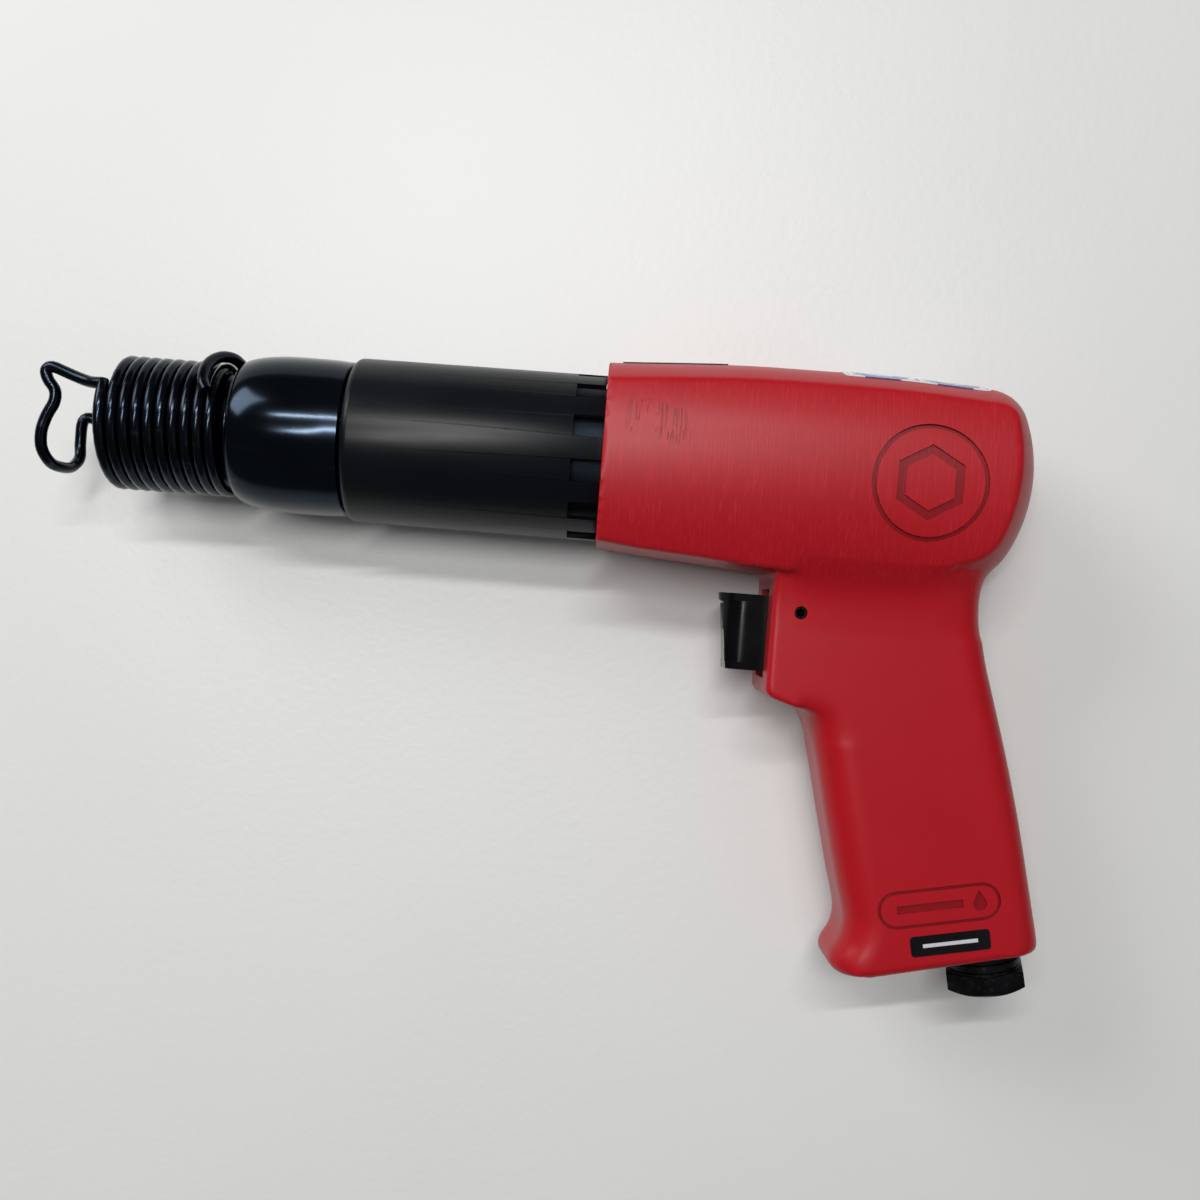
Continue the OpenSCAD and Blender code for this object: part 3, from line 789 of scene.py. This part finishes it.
def lean_front(height):
    """Station of the slanted front at a height between the flanges."""
    return t_front + slant * (t_top - height) / (t_top - t_bottom)


side_line = [(lean_front(t_bottom), t_bottom), (t_back, t_bottom), (t_back, t_top),
             (lean_front(t_top), t_top),
             (lean_front(t_top - flange_t), t_top - flange_t)]
side_line += [(lean_front(h) + sink * math.sin(math.pi * k), h) for k, h in
              [(i / 8, t_top - flange_t - (t_top - t_bottom - 2 * flange_t) * i / 8) for i in range(1, 8)]]
side_line += [(lean_front(t_bottom + flange_t), t_bottom + flange_t)]
trigger = extruded("trigger_button", side_line, -t_half, t_half)
# the flanges are rounded at the front, and the part between them more so
flange_round = (t_front + t_half + 1.6, t_half + 1.6, t_bottom - 1, t_top + 1)
thumb_round = (t_front + t_half + 0.6, t_half, t_bottom + flange_t, t_top - flange_t)
for centre_x, radius, low, high in (flange_round, thumb_round):
    for side in (-1, 1):
        waste = block((t_front - 5, low, min(side * 9, 0)), (centre_x, high, max(side * 9, 0)))
        combine(waste, rod((centre_x, t_bottom - 5, 0), (0, 1, 0), radius, 40, 96), "DIFFERENCE")
        combine(trigger, waste, "DIFFERENCE")
slot = block((pin_x - 7.8, pin_y - 1.85, -12), (pin_x + 1.85, pin_y + 1.85, 12))
apply_modifier(slot, "BEVEL", width=1.7 * MM, segments=5, limit_method="ANGLE")
combine(trigger, slot, "DIFFERENCE")
# thin step under the top flange
step_y = t_top - flange_t
combine(trigger, block((t_front - 5, step_y - 0.9, -12), (t_front + 1.3, step_y - 0.3, 12)), "DIFFERENCE")
apply_modifier(trigger, "BEVEL", width=0.35 * MM, segments=3, limit_method="ANGLE",
               angle_limit=math.radians(35))
outward(trigger)
shade(trigger, 32)

black_plastic = Finish("black_plastic", Specular_IOR_Level=0.14)
cloud = black_plastic.noise(black_plastic.place(), 120, 3)
spark = black_plastic.noise(black_plastic.place(), 2600, 2)
black_plastic.feed(Base_Color=black_plastic.mix((0.0015, 0.0015, 0.002, 1), (0.003, 0.003, 0.004, 1), cloud))
black_plastic.feed(Roughness=0.14 + 0.12 * cloud)
black_plastic.bump(spark, 0.000006)
fit(trigger, black_plastic.material, "trigger", "black_plastic", "trigger")

# ---- trigger pin -------------------------------------------------------------------------
# A rolled spring pin driven across the grip, a little below its surface, with the slit
# and the rounded mouth that such a pin has.

pin_r = 1.65
pin_end = 15.6
pin_outline = [(-pin_end, 1.15), (-pin_end, pin_r - 0.25), (-pin_end + 0.5, pin_r), (pin_end - 0.5, pin_r),
               (pin_end, pin_r - 0.25),
               (pin_end, 1.15), (-pin_end, 1.15)]
pin = turned("trigger_pin_rolled", pin_outline, (pin_x, pin_y, 0), (0, 0, 1), 64)
combine(pin, block((pin_x - 0.3, pin_y, -20), (pin_x + 0.3, pin_y + 3, 20)), "DIFFERENCE")
shade(pin, 30)

black_oxide = Finish("black_oxide", Metallic=1.0)
cloud = black_oxide.noise(black_oxide.place(), 190, 4)
worn = black_oxide.between(black_oxide.noise(black_oxide.place(), 700, 2), 0.56, 0.7)
oxide = black_oxide.mix((0.009, 0.009, 0.010, 1), (0.022, 0.022, 0.025, 1), cloud)
black_oxide.feed(Base_Color=black_oxide.mix(oxide, (0.07, 0.07, 0.073, 1), worn * 0.35),
                 Roughness=0.34 + 0.18 * cloud)
black_oxide.bump(black_oxide.noise(black_oxide.place(), 1500, 3), 0.000012)
fit(pin, black_oxide.material, "tool", "black_oxide", "trigger_pin")

# ---- inlet bushing -------------------------------------------------------------------------
# A black-oxide steel bushing screwed into the foot of the grip: two grooves in its
# collar, a hexagon for the spanner with turned corners, and the tapped air inlet.

gasket_t, collar_r, collar_l, hex_l, hex_af = 0.8, 10.2, 5.0, 5.6, 20.6
thread_r, thread_l, bore_r = 9.4, 14.0, 5.75
groove = 0.7
outer_end = gasket_t + collar_l + hex_l
threads = [(-thread_l + 0.75 * i, thread_r - (0.6 if i % 2 else 0)) for i in range(18)]
c0 = gasket_t
bushing_outline = [(-thread_l, 6.8), *threads, (-0.3, thread_r - 0.3), (c0, thread_r - 0.3), (c0, collar_r),
                   (c0 + 1.1, collar_r),
                   (c0 + 1.3, collar_r - groove), (c0 + 1.9, collar_r - groove), (c0 + 2.1,
                           collar_r), (c0 + 3.2, collar_r),
                   (c0 + 3.4, collar_r - groove), (c0 + 4.2, collar_r - groove), (c0 + 4.4,
                           collar_r - 0.2), (c0 + 5.4, collar_r - 0.2),
                   (c0 + 5.4, bore_r)]
inlet_threads = [(c0 + 5.4 - 0.7 * i, bore_r + (0.55 if i % 2 else 0)) for i in range(1, 10)]
bushing = turned("inlet_bushing_body", bushing_outline + inlet_threads + [(-3, bore_r), (-3, 6.8),
        (-thread_l, 6.8)], inlet_at, inlet_way, 96)
hexagon = rod(inlet_at + inlet_way * (c0 + collar_l), inlet_way, hex_af / 2 / math.cos(math.pi / 6), hex_l, 6)
hex_turn = Matrix.Rotation(math.radians(16), 4, inlet_way)
hexagon.data.transform(Matrix.Translation(inlet_at * MM) @ hex_turn @ Matrix.Translation(-inlet_at * MM))
h0 = gasket_t + collar_l - 1
corner_cut = turned("corner_cut", [(h0, 10.5), (h0 + 1, 11.3), (h0 + 1.6, 12.2), (outer_end - 1.3, 12.2),
                                   (outer_end + 0.1, 9.6)],
                    inlet_at, inlet_way, 96, bored=False)
combine(hexagon, corner_cut, "INTERSECT")
bore_stations = [(h0 - 2, bore_r)]
for i in range(10):
    bore_stations += [(h0 + 0.35 + 0.7 * i, bore_r), (h0 + 0.7 + 0.7 * i, bore_r + 0.5)]
mouth = turned("mouth_cut", [*bore_stations, (outer_end - 0.2, 6.9), (outer_end + 2, 8.6)], inlet_at,
               inlet_way, 96, bored=False)
combine(hexagon, mouth, "DIFFERENCE")
apply_modifier(hexagon, "BEVEL", width=0.15 * MM, segments=2, limit_method="ANGLE",
               angle_limit=math.radians(35))
combine(bushing, hexagon, "UNION")
outward(bushing)
shade(bushing, 30)
fit(bushing, black_oxide.material, "tool", "black_oxide", "inlet_bushing")

# ---- top plate -----------------------------------------------------------------------------
# A blank grey metal plate with a dark border, thin enough to follow the ridge that it is
# glued to, at the front of the housing.


sheet_t, sheet_lift = 0.25, 0.05


def sheet_on_top(name, node, round_off):
    """A thin sheet with rounded corners, wrapped over the top ridge where the node lies."""
    low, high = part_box(node)
    low_x, high_x, half_w = low.x / MM, high.x / MM, high.z / MM
    rounded = []
    for cx, cz, start in ((high_x, half_w, 0), (low_x, half_w, 90), (low_x, -half_w, 180),
                          (high_x, -half_w, 270)):
        inner = (cx - math.copysign(round_off, cx - (low_x + high_x) / 2), cz - math.copysign(round_off, cz))
        rounded += arc(inner, round_off, start, start + 90, 5)
    piece = draw_outline(name, rounded, 0)
    bpy.ops.object.mode_set(mode="EDIT")
    strips = 24
    for k in range(1, strips):
        width_cut = (0, (-half_w + 2 * half_w * k / strips) * MM, 0)
        length_cut = ((low_x + (high_x - low_x) * k / strips) * MM, 0, 0)
        for cut_at, normal in ((width_cut, (0, 1, 0)), (length_cut, along)):
            bpy.ops.mesh.select_all(action="SELECT")
            bpy.ops.mesh.bisect(plane_co=cut_at, plane_no=normal)
    bpy.ops.object.mode_set(mode="OBJECT")
    piece.rotation_euler.x = math.radians(-90)
    piece.location.y = 40 * MM
    in_place(piece)
    apply_modifier(piece, "SHRINKWRAP", target=housing, wrap_method="PROJECT", use_project_x=False,
                   use_project_y=True,
                   use_project_z=False, use_negative_direction=True, use_positive_direction=False,
                   offset=sheet_lift * MM)
    apply_modifier(piece, "SOLIDIFY", thickness=sheet_t * MM, offset=1)
    outward(piece)
    shade(piece, 40)
    return piece


top_plate = sheet_on_top("top_plate_sheet", "top_plate", 1.5)
grey_plate = Finish("grey_plate", Metallic=0.85)
brush = grey_plate.noise(grey_plate.place(scale=(0.02, 1, 1)), 2400, 2)
x, _, z = grey_plate.axes(grey_plate.place())
plate_low, plate_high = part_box("top_plate")
plate_mid = (plate_low.x + plate_high.x) / 2
plate_reach, plate_half = plate_high.x - plate_mid, plate_high.z
edge = grey_plate.between(abs(z), plate_half - 0.0014, plate_half - 0.0012)
edge = edge + grey_plate.between(abs(x - plate_mid), plate_reach - 0.0014, plate_reach - 0.0012)
grey = grey_plate.mix((0.17, 0.18, 0.18, 1), (0.30, 0.31, 0.31, 1), brush)
grey_plate.feed(Base_Color=grey_plate.mix(grey, (0.03, 0.03, 0.03, 1), edge), Roughness=0.34 + 0.16 * brush)
grey_plate.bump(brush, 0.000006)
fit(top_plate, grey_plate.material, "tool", "grey_plate", "top_plate")

# ---- top label -----------------------------------------------------------------------------
# A white film label over the rear of the top. It is printed in blue with two framed
# panels, each with a plain ring and a plain bar, and no lettering.

top_label = sheet_on_top("top_label_sheet", "top_label", 1.8)
label_low, label_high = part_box("top_label")
label_mid, label_half = (label_low.x + label_high.x) / 2, label_high.z
white_label = Finish("white_label", Coat_Roughness=0.1)
x, _, z = white_label.axes(white_label.place())
across = abs(x - label_mid)
panel_mid, disc_z, bar_z = 0.0098, 0.0088, -0.0085
reach = ((across - panel_mid) ** 2 + (z - disc_z) ** 2) ** 0.5
disc = white_label.between(reach, 0.0084, 0.0082)
hole = white_label.between(reach, 0.0042, 0.0040) * white_label.between(reach, 0.0026, 0.0028)
bar = white_label.between(abs(across - panel_mid), 0.0075, 0.0073)
bar = bar * white_label.between(abs(z - bar_z), 0.0030, 0.0028)
border = white_label.between(across, 0.0186, 0.0188) + white_label.between(across, 0.0006, 0.0004)
border = border + white_label.between(abs(z), label_half - 0.0014, label_half - 0.0012)
border = border * white_label.between(across, 0.0193, 0.0191)
border = border * white_label.between(abs(z), label_half - 0.0006, label_half - 0.0008)
ink = white_label.noise(white_label.place(), 260, 2)
paper = white_label.mix((0.70, 0.73, 0.76, 1), (0.80, 0.82, 0.84, 1), ink)
drawn = white_label.mix(paper, (0.035, 0.13, 0.34, 1), disc * (1 - hole) + bar * 0.5)
white_label.feed(Base_Color=white_label.mix(drawn, (0.12, 0.22, 0.42, 1), border),
                 Roughness=0.22 + 0.12 * ink, Coat_Weight=0.3 + 0.1 * ink)
white_label.bump(white_label.noise(white_label.place(), 500, 2), 0.00001)
fit(top_label, white_label.material, "tool", "white_label", "top_label")

# ---- grip label ----------------------------------------------------------------------------
# A narrow black film label at the foot of the grip, in line with the grip. It carries a
# plain pale dash.

label_at = Vector((231.7, -124.6))
film_half, film_high, film_round = 10.8, 2.75, 0.9
corners = []
for sx, sy, start in ((1, 1, 0), (-1, 1, 90), (-1, -1, 180), (1, -1, 270)):
    corners += arc((sx * (film_half - film_round), sy * (film_high - film_round)), film_round, start,
                   start + 90, 5)
tilt = Matrix.Rotation(grip_lean, 2)
grip_label = extruded("grip_label_film", [label_at + tilt @ p for p in corners], grip_half + 0.02,
                      grip_half + 0.2)
apply_modifier(grip_label, "BEVEL", width=0.05 * MM, segments=1, limit_method="ANGLE")
shade(grip_label, 30)
black_label = Finish("black_label", Specular_IOR_Level=0.25)
u, v, _ = black_label.axes(black_label.place(turn=(0, 0, -grip_lean)))
centre = Matrix.Rotation(-grip_lean, 2) @ (label_at * MM)
film = black_label.noise(black_label.place(), 200, 2)
dash = black_label.between(abs(v - centre.y), 0.00055, 0.00045)
dash = dash * black_label.between(abs(u - centre.x), 0.0075, 0.0074)
black = black_label.mix((0.002, 0.002, 0.003, 1), (0.005, 0.005, 0.006, 1), film)
black_label.feed(Base_Color=black_label.mix(black, (0.55, 0.56, 0.57, 1), dash), Roughness=0.2 + 0.15 * film)
black_label.bump(film, 0.00001)
fit(grip_label, black_label.material, "tool", "black_label", "grip_label")

# ---- throttle spring ----------------------------------------------------------------------
# A small coil spring of bright wire behind the throttle valve, with closed ends. It is
# squeezed against the end of its bore when the trigger is pulled.

coil_low, coil_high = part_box("throttle_spring")
coil_length = (coil_high.x - coil_low.x) / MM
coil_wire = 0.45
coil_mid = (coil_high.z - coil_low.z) / 2 / MM - coil_wire
open_turns, closed_turns, per_turn = 6, 1, 28
closed_pitch = coil_wire * 1.9
open_length = coil_length - 2 * coil_wire - 2 * closed_turns * closed_pitch
coil_line = []
for i in range((open_turns + 2 * closed_turns) * per_turn + 1):
    turns = i / per_turn
    rise = min(max((turns - closed_turns) / open_turns, 0), 1)
    tight = min(turns, closed_turns) + max(turns - closed_turns - open_turns, 0)
    x = coil_low.x / MM + coil_wire + tight * closed_pitch + rise * open_length
    t = 2 * math.pi * turns
    coil_line.append(Vector((x, throttle_y + coil_mid * math.cos(t), coil_mid * math.sin(t))))
throttle_spring = bent_wire("throttle_spring_wire", coil_line, coil_wire)
bright_wire = Finish("bright_wire", Metallic=1.0)
drawn_lines = bright_wire.noise(bright_wire.place(scale=(1, 0.2, 0.2)), 3000, 2)
bright_wire.feed(Base_Color=bright_wire.mix((0.40, 0.40, 0.41, 1), (0.62, 0.62, 0.64, 1), drawn_lines),
                 Roughness=0.2 + 0.15 * drawn_lines)
bright_wire.bump(drawn_lines, 0.000003)
fit(throttle_spring, bright_wire.material, "tool", "ground_steel", "throttle_spring")
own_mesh(throttle_spring)

# ---- piston, valve cases, dowels, wave washer and inlet screen -------------------------------
# The steel pieces inside, hardened and ground, and wet with oil. They keep the frame's
# own shapes.


def finished_inside(finish):
    """Puts a finish on the frame's nodes whose slot has its name."""
    for row in frame["record"]["subparts"]:
        if row["material_slot"] == finish.material.name:
            node = frame["nodes"][row["node"]]
            node.data.materials.clear()
            node.data.materials.append(finish.material)


ground_steel = Finish("ground_steel", Metallic=1.0)
fine = ground_steel.noise(ground_steel.place(scale=(1, 0.01, 0.01)), 2500, 2)
oil = ground_steel.noise(ground_steel.place(), 130, 3)
ground_steel.feed(Base_Color=ground_steel.mix((0.36, 0.35, 0.33, 1), (0.58, 0.58, 0.59, 1), oil),
                  Roughness=0.22 + 0.12 * fine + 0.1 * oil)
ground_steel.bump(fine, 0.000006)
finished_inside(ground_steel)

# ---- valve disc and throttle -----------------------------------------------------------------
# The flapper disc, the throttle bushing and the throttle stem are turned from bronze.

valve_bronze = Finish("valve_bronze", Metallic=1.0)
oil = valve_bronze.noise(valve_bronze.place(), 150, 3)
fine = valve_bronze.noise(valve_bronze.place(scale=(1, 0.01, 0.01)), 2500, 2)
valve_bronze.feed(Base_Color=valve_bronze.mix((0.42, 0.27, 0.10, 1), (0.66, 0.47, 0.21, 1), oil),
                  Roughness=0.26 + 0.12 * fine)
valve_bronze.bump(fine, 0.000006)
finished_inside(valve_bronze)

# ---- rings, seal and gasket ------------------------------------------------------------------
# Moulded nitrile rubber: the O-rings of the sleeve and throttle, the throttle's seal and
# the washer under the inlet bushing.

black_rubber = Finish("black_rubber")
bloom = black_rubber.noise(black_rubber.place(), 300, 3)
black_rubber.feed(Base_Color=black_rubber.mix((0.012, 0.012, 0.012, 1), (0.035, 0.035, 0.035, 1), bloom),
                  Roughness=0.55 + 0.2 * bloom)
black_rubber.bump(black_rubber.noise(black_rubber.place(), 2000, 2), 0.00001)
finished_inside(black_rubber)
